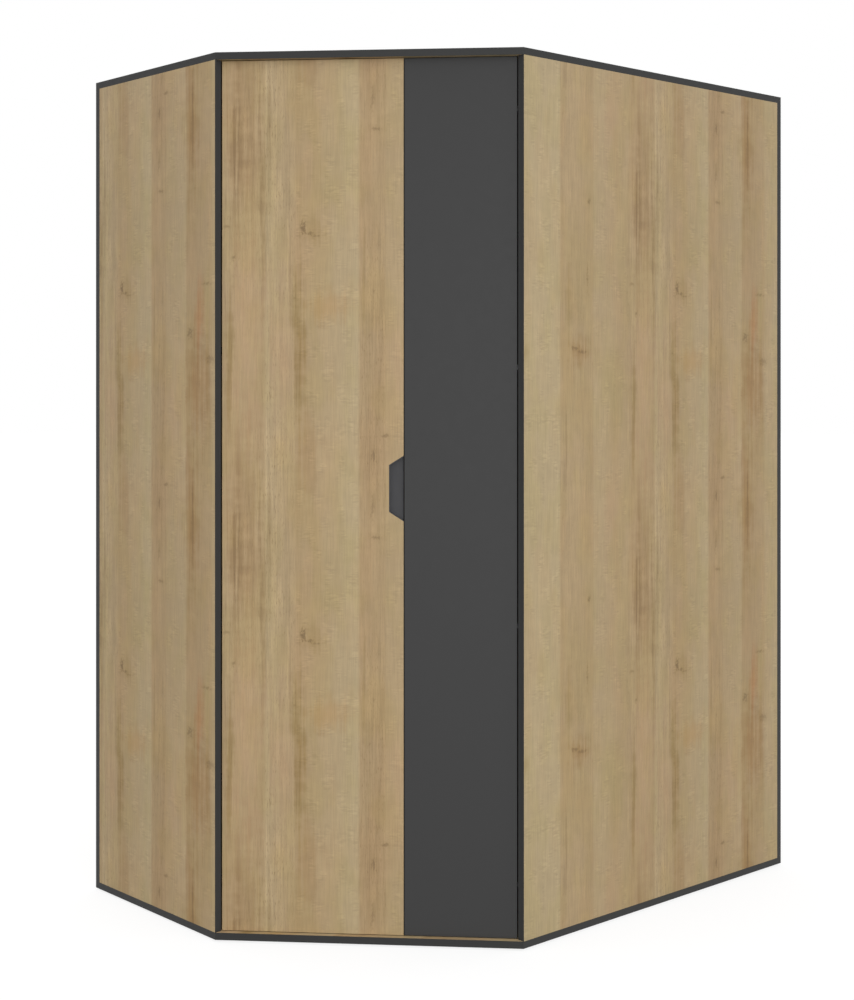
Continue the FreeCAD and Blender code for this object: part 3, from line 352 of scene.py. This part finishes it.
def make_oak_print():
    """Printed oak: colour, roughness and pore relief at a place across (x) and up (z) the print."""
    tree, given, put_out = new_group(
        "oak print", {"Place": "NodeSocketVector"},
        {"Color": "NodeSocketColor", "Roughness": "NodeSocketFloat", "Height": "NodeSocketFloat"})
    roller, across = wrap_on_roller(tree, given["Place"])
    noise = {}
    for name, (width, height, detail, seed) in PRINT_NOISES.items():
        noise[name] = spots(tree, roller, (width, height, height), detail, seed)
    colour, stave_striping = stave_ramp(tree, across)
    patches = remap(tree, noise["striped patches"], low=0.40, high=0.60, to_low=0.45)
    striping = work_out(tree, "MULTIPLY", stave_striping, patches)

    wander = drift(tree, noise["sway"], GRAIN_SWAY, spread=0.25)
    sway = add(tree, "ShaderNodeCombineXYZ", {0: wander}).outputs[0]
    bent = add(tree, "ShaderNodeVectorMath", {0: given["Place"], 1: sway}, operation="ADD").outputs[0]
    torn = work_out(tree, "ADD", drift(tree, noise["streaks"], STREAK_TEAR),
                    drift(tree, noise["clouds"], CLOUD_TEAR))
    for *mark, tone, strength in PRINT_MARKS:
        away = distance_from(tree, bent, *mark, torn)
        share = remap(tree, away, low=1.0, high=0.0, to_high=strength)
        colour = blend_colours(tree, share, colour, linear(*PRINT_TONES[tone]))

    yellowed = remap(tree, noise["yellowing"], low=0.40, high=0.64)
    colour = blend_colours(tree, yellowed, colour, YELLOWED, "MULTIPLY")
    rosy = remap(tree, noise["rosiness"], low=0.42, high=0.66)
    colour = blend_colours(tree, rosy, colour, ROSY, "MULTIPLY")

    stripes = work_out(tree, "MULTIPLY", drift(tree, noise["streaks"], STRIPE_DEPTH), striping)
    threads = work_out(tree, "MULTIPLY", drift(tree, noise["fibres"], FIBRE_DEPTH, spread=0.25),
                       remap(tree, striping, low=0.0, high=1.0, to_low=0.55))
    colour = shade(tree, colour, work_out(tree, "ADD", stripes, threads))
    shading = drift(tree, noise["broad shading"], SHADING_DEPTH)
    clouding = drift(tree, noise["clouds"], CLOUD_DEPTH, spread=0.25)
    colour = shade(tree, colour, work_out(tree, "ADD", shading, clouding))

    pores = work_out(tree, "MULTIPLY", remap(tree, noise["pores"], low=0.58, high=0.72), striping)
    stained = work_out(tree, "MULTIPLY", pores, PORE_STRENGTH)
    colour = blend_colours(tree, stained, colour, linear(*PRINT_TONES["umber"]))

    rays = remap(tree, noise["rays"], low=0.32, high=0.68, to_low=RAY_DARK, to_high=RAY_PALE)
    rayed = work_out(tree, "MULTIPLY", remap(tree, noise["ray patches"], low=0.46, high=0.66),
                     remap(tree, stave_striping, low=0.55, high=0.1))
    colour = shade(tree, colour, work_out(tree, "MULTIPLY", rays, rayed))

    ragged = drift(tree, noise["crumbs"], KNOT_TEAR)
    for *knot, strength in PRINT_KNOTS:
        away = distance_from(tree, bent, *knot, ragged)
        stain = remap(tree, away, low=2.4, high=0.4, to_high=KNOT_STAIN * strength)
        colour = blend_colours(tree, stain, colour, linear(*PRINT_TONES["olive"]))
        heart = remap(tree, away, low=1.15, high=0.0, to_high=strength)
        colour = blend_colours(tree, heart, colour, linear(*PRINT_TONES["bark"]))

    tree.links.new(colour, put_out["Color"])
    rough = drift(tree, noise["clouds"], reach=0.05, middle=0.55, spread=0.3)
    tree.links.new(rough, put_out["Roughness"])
    tree.links.new(work_out(tree, "SUBTRACT", noise["fibres"], pores), put_out["Height"])
    return tree


oak_print = make_oak_print()


def oak(name, turn, across, up):
    """Oak-print melamine: its grain turned, and cut so far across and up the print."""
    material, tree, shader, place = new_finish(name, {"Specular IOR Level": 0.25}, turn, (across, 0.0, up))
    printed = add(tree, "ShaderNodeGroup", node_tree=oak_print)
    tree.links.new(place, printed.inputs["Place"])
    tree.links.new(printed.outputs["Color"], shader.inputs["Base Color"])
    tree.links.new(printed.outputs["Roughness"], shader.inputs["Roughness"])
    raise_surface(tree, shader, printed.outputs["Height"], PORE_DEPTH)
    return material


ALONG_WALL = (90.0, 0.0, 0.0)
long_wall_face = MM * cad_box[0].x
finish(oak("oak print, bottom board", ALONG_WALL, across=-long_wall_face, up=120.0), "bottom_board")


# Edging: graphite plastic strip a millimetre thick, hot-glued to every board edge that shows.
# It is trimmed flush and its corners are scraped round, so the boards look framed in graphite.

graphite_edging = moulded("graphite edging", (50, 50, 50), (54, 54, 53),
                          roughness=0.46, specular=0.17, pit_mm=0.35)
BOARD_EDGING = ("bottom_board_edging", "left_end_edging", "right_side_edging", "back_edging",
                "partition_edging", "hat_shelf_edging", "shelf_edging", "top_board_edging")
finish(graphite_edging, *BOARD_EDGING)
soften(0.3, *BOARD_EDGING)


# Left end, right side and the two back boards: uprights of oak-print chipboard with the grain upright.
# They stand on the bottom board on dowels, drawn down by cam locks. The right side's front edge is cut
# where the print begins.

UPRIGHT_FACING_Y = (0.0, 0.0, 0.0)
UPRIGHT_FACING_X = (0.0, 0.0, -90.0)
LEFT_END_CUT = 425.0
left_end_across = LEFT_END_CUT - long_wall_face
right_side_across = -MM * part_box("right_side_edging")[0].y
finish(oak("oak print, left end", UPRIGHT_FACING_Y, left_end_across, up=0.0), "left_end_panel")
finish(oak("oak print, right side", UPRIGHT_FACING_X, right_side_across, up=0.0), "right_side_panel")
finish(oak("oak print, long back", UPRIGHT_FACING_X, across=1180.0, up=300.0), "long_back_panel")
finish(oak("oak print, short back", UPRIGHT_FACING_Y, across=560.0, up=140.0), "short_back_panel")


# Partition, hat shelf and loose shelves: the same board inside, with edging on the edge that faces out.
# The partition divides the shelves from the hanging space and carries one end of each shelf.

SHELF_COUNT = 5
SHELF_CUT_ACROSS = 170.0
SHELF_CUT_UP = 90.0
finish(oak("oak print, partition", UPRIGHT_FACING_Y, across=900.0, up=410.0), "partition")
finish(oak("oak print, hat shelf", ALONG_WALL, across=700.0, up=260.0), "hat_shelf")
for number in range(1, SHELF_COUNT + 1):
    shelf_across = number * SHELF_CUT_ACROSS - long_wall_face
    shelf_oak = oak(f"oak print, shelf {number}", ALONG_WALL, shelf_across, number * SHELF_CUT_UP)
    finish(shelf_oak, f"shelf_{number}")


# Top board: the twin of the bottom board, laid over the uprights.
# Cam bolts screwed into it reach down into the cam locks.

finish(oak("oak print, top board", ALONG_WALL, across=620.0, up=530.0), "top_board")


# Fixings: die-cast cam locks, zinc-plated cam bolts and screws, turned beech dowels.
# Cams sit flush in the inner faces of the uprights and show their driver cross, the rest is hidden.

METAL_ROUGHNESS_REACH = 0.07


def make_drawn_metal():
    """Rolled, drawn or turned metal: fine scratches along one way and faint cloudy stains."""
    tree, given, put_out = new_group("drawn metal", {"Place": "NodeSocketVector"},
                                     {"Stain": "NodeSocketFloat", "Height": "NodeSocketFloat"})
    tree.links.new(spots(tree, given["Place"], (6.0, 6.0, 11.0), detail=4.0), put_out["Stain"])
    tree.links.new(spots(tree, given["Place"], (0.12, 0.12, 7.0), detail=2.0), put_out["Height"])
    return tree


drawn_metal = make_drawn_metal()


def metal(name, dark, light, roughness, scratch_mm=0.02):
    """Plated or bare metal between two near shades."""
    material, tree, shader, place = new_finish(name, {"Metallic": 1.0})
    worked = add(tree, "ShaderNodeGroup", node_tree=drawn_metal)
    tree.links.new(place, worked.inputs["Place"])
    stain = worked.outputs["Stain"]
    tree.links.new(blend_colours(tree, stain, linear(*dark), linear(*light)), shader.inputs["Base Color"])
    rough = drift(tree, stain, METAL_ROUGHNESS_REACH, middle=roughness, spread=0.3)
    tree.links.new(rough, shader.inputs["Roughness"])
    raise_surface(tree, shader, worked.outputs["Height"], scratch_mm)
    return material


def make_beech():
    """Turned beech with short dark flecks along the dowel."""
    material, tree, shader, place = new_finish("beech", {"Specular IOR Level": 0.2, "Roughness": 0.7})
    flecks = remap(tree, spots(tree, place, (0.6, 0.6, 5.0)), low=0.52, high=0.70)
    tree.links.new(blend_colours(tree, flecks, linear(206, 172, 128), linear(166, 124, 82)),
                   shader.inputs["Base Color"])
    raise_surface(tree, shader, flecks, 0.05)
    return material


cam_zinc = metal("die-cast zinc", (138, 139, 141), (164, 165, 166), roughness=0.45)
zinc_plate = metal("zinc plate", (176, 179, 184), (202, 204, 207), roughness=0.30)
finish(cam_zinc, "cam_locks")
finish(zinc_plate, "cam_bolts", "back_screws", "fitting_screws")
finish(make_beech(), "wood_dowels")
soften(0.15, "cam_locks", "back_screws", "fitting_screws")
soften(0.8, "wood_dowels")


# Shelf pins: bright steel pins in drilled rows, four to a shelf.
# The shelf rests on them and can be moved to another hole.

bright_steel = metal("bright steel", (184, 185, 187), (206, 207, 208), roughness=0.22)
finish(bright_steel, "shelf_pins")
soften(0.5, "shelf_pins")


# Hanging rail: chromed steel tube in two chromed sockets, each screwed to a board.
# Galvanised steel angles tie the top board to the walls.

chrome = metal("chrome", (204, 205, 207), (216, 217, 218), roughness=0.09, scratch_mm=0.004)
galvanised_sheet = metal("galvanised sheet", (158, 160, 163), (192, 194, 196), roughness=0.42)
finish(chrome, "hanging_rail", "rail_sockets")
finish(galvanised_sheet, "wall_brackets")
soften(0.4, "hanging_rail", "rail_sockets", "wall_brackets")


# Concealed hinges, four to a door: nickel cups and arms on mounting plates, painted dark as the shade in
# the door gaps.
# The cup is pushed into the door and screwed, the arm is held on its plate by one screw.

HINGES_PER_DOOR = 4
# Painted shade: the nickel is coloured near black, so the hinges stay as dark as the shaded gaps between
# doors and boards.
nickel_painted_shade = metal("nickel painted dark as gap shade", (58, 58, 60), (76, 76, 78), roughness=0.28)
for door in ("oak", "graphite"):
    for number in range(1, HINGES_PER_DOOR + 1):
        pressings = (f"{door}_hinge_cup_{number}", f"{door}_hinge_arm_{number}")
        finish(nickel_painted_shade, *pressings)
        soften(0.3, *pressings)
    finish(bright_steel, f"{door}_hinge_pins")
    finish(zinc_plate, f"{door}_hinge_cup_screws")
    soften(0.15, f"{door}_hinge_cup_screws")
finish(nickel_painted_shade, "hinge_plates")
finish(zinc_plate, "hinge_arm_screws")
soften(0.3, "hinge_plates")
soften(0.15, "hinge_arm_screws")


# Oak door: wide leaf of oak-print board with oak edging on its four edges.
# It hangs on the left end and carries the finger pull in its free edge. Its print is measured from the
# corner where the slanted front meets the left end.

ALONG_FRONT = (0.0, 0.0, -45.0)
DOOR_CUT = 345.7
DOOR_CUT_UP = -117.0
corner_low, corner_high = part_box("left_end_edging")
front_corner = MM * (corner_high.x + corner_low.y) * math.sqrt(0.5)
door_oak = oak("oak print, oak door", ALONG_FRONT, DOOR_CUT - front_corner, DOOR_CUT_UP)
finish(door_oak, "oak_door", "oak_door_edging")
soften(0.3, "oak_door_edging")


# Finger pull: graphite moulding let into a trapezoid notch in the free edge of the oak door.
# Fingers reach behind its lip to draw either door open.

pull_graphite = moulded("finger pull graphite", (61, 61, 63), (65, 65, 67),
                        roughness=0.50, specular=0.25, pit_mm=0.4)
finish(pull_graphite, "finger_pull")
soften(0.4, "finger_pull")


# Graphite door: narrow leaf of plain graphite melamine with matching edging.
# Its press plate leaves a fine matt pearl on the sheet.

PEARL_SIZE = 0.6
PEARL_DEPTH = 0.05


def make_graphite_decor():
    """Plain graphite melamine: almost even colour, fine pearl and faint cloud."""
    material, tree, shader, place = new_finish("graphite melamine", {"Specular IOR Level": 0.22})
    skin = add(tree, "ShaderNodeGroup", node_tree=eroded_skin)
    tree.links.new(place, skin.inputs["Place"])
    skin.inputs["Pit Size"].default_value = PEARL_SIZE
    cloud = skin.outputs["Cloud"]
    tree.links.new(blend_colours(tree, cloud, linear(56, 56, 56), linear(58, 58, 58)),
                   shader.inputs["Base Color"])
    rough = drift(tree, cloud, reach=0.04, middle=0.54, spread=0.3)
    tree.links.new(rough, shader.inputs["Roughness"])
    raise_surface(tree, shader, skin.outputs["Height"], PEARL_DEPTH)
    return material


finish(make_graphite_decor(), "graphite_door")
finish(graphite_edging, "graphite_door_edging")
soften(0.3, "graphite_door_edging")


# Door stops and bumpers: graphite blocks behind the meeting line with soft grey pads.
# The blocks are pegged into the top and bottom boards, and the doors close onto the pads.

stop_plastic = moulded("stop plastic", (64, 64, 66), (70, 70, 72), roughness=0.55)
bumper_rubber = moulded("bumper rubber", (172, 172, 170), (186, 186, 183),
                        roughness=0.42, specular=0.45, pit_mm=0.8)
finish(stop_plastic, "door_stops")
finish(bumper_rubber, "door_bumpers")
soften(0.6, "door_stops", "door_bumpers")


# Camera: level, on a stand a little above the door's middle, so that the uprights stay upright.
# Its frame is slid down and to the right, until the whole wardrobe is in the picture.

camera_data = bpy.data.cameras.new("photo view")
camera_data.lens = 58.136
camera_data.sensor_width = 36.0
camera_data.shift_x = 0.11696
camera_data.shift_y = -0.11973
camera = bpy.data.objects.new("photo view", camera_data)
camera.location = (2.8563, -2.8585, 1.2372)
camera.rotation_euler = (math.radians(90.0), 0.0, math.radians(49.820))
bpy.context.scene.collection.objects.link(camera)
bpy.context.scene.camera = camera


# Light: an even white room and one large soft lamp ahead of the doors, at half their height.
# The lamp stands a little to the right, so that the left end is a shade darker.

ROOM_LEVEL = 1.2
KEY_DISTANCE = 5.0
KEY_BEARING = math.radians(-33.0)
KEY_HEIGHT = 1.2
AIM_HEIGHT = 1.0
bpy.context.scene.view_settings.view_transform = "Standard"


def seen_directly(tree):
    """One for a ray from the camera or a reflection, nothing for light that falls on a surface."""
    path = add(tree, "ShaderNodeLightPath").outputs
    mirrored = work_out(tree, "MAXIMUM", path["Is Glossy Ray"], path["Is Transmission Ray"])
    return work_out(tree, "MAXIMUM", path["Is Camera Ray"], mirrored)


room = bpy.data.worlds.new("white room")
room.use_nodes = True
bpy.context.scene.world = room
level = remap(room.node_tree, seen_directly(room.node_tree), 0.0, 1.0, to_low=ROOM_LEVEL, to_high=1.0)
background = room.node_tree.nodes["Background"]
background.inputs["Color"].default_value = (1.0, 1.0, 1.0, 1.0)
room.node_tree.links.new(level, background.inputs["Strength"])

lamp_data = bpy.data.lights.new("soft key", "AREA")
lamp_data.shape = "DISK"
lamp_data.size = 3.0
lamp_data.energy = 69.0
lamp = bpy.data.objects.new("soft key", lamp_data)
lamp.location = (KEY_DISTANCE * math.cos(KEY_BEARING), KEY_DISTANCE * math.sin(KEY_BEARING), KEY_HEIGHT)
fall = math.atan2(KEY_HEIGHT - AIM_HEIGHT, KEY_DISTANCE)
lamp.rotation_euler = (math.radians(90.0) - fall, 0.0, math.radians(90.0) + KEY_BEARING)
bpy.context.scene.collection.objects.link(lamp)


# Floor: one plain matt sheet that takes the soft shadow under the wardrobe.
# A glow that only the camera and reflections see lifts it to white.

FLOOR_REACH = 30.0
FLOOR_GREY = 0.2
FLOOR_LIFT = 0.81
floor_mesh = bpy.data.meshes.new("floor")
corners = [(-FLOOR_REACH, -FLOOR_REACH, 0.0), (FLOOR_REACH, -FLOOR_REACH, 0.0),
           (FLOOR_REACH, FLOOR_REACH, 0.0), (-FLOOR_REACH, FLOOR_REACH, 0.0)]
floor_mesh.from_pydata(corners, [], [(0, 1, 2, 3)])
floor = bpy.data.objects.new("floor", floor_mesh)
bpy.context.scene.collection.objects.link(floor)
floor_white = bpy.data.materials.new("floor white")
floor_white.use_nodes = True
floor_tree = floor_white.node_tree
floor_tree.nodes.remove(floor_tree.nodes["Principled BSDF"])
matt = add(floor_tree, "ShaderNodeBsdfDiffuse", {"Color": (FLOOR_GREY, FLOOR_GREY, FLOOR_GREY, 1.0)})
lift = work_out(floor_tree, "MULTIPLY", seen_directly(floor_tree), FLOOR_LIFT)
glow = add(floor_tree, "ShaderNodeEmission", {"Strength": lift})
both = add(floor_tree, "ShaderNodeAddShader", {0: matt.outputs[0], 1: glow.outputs[0]})
floor_tree.links.new(both.outputs[0], floor_tree.nodes["Material Output"].inputs["Surface"])
floor_mesh.materials.append(floor_white)
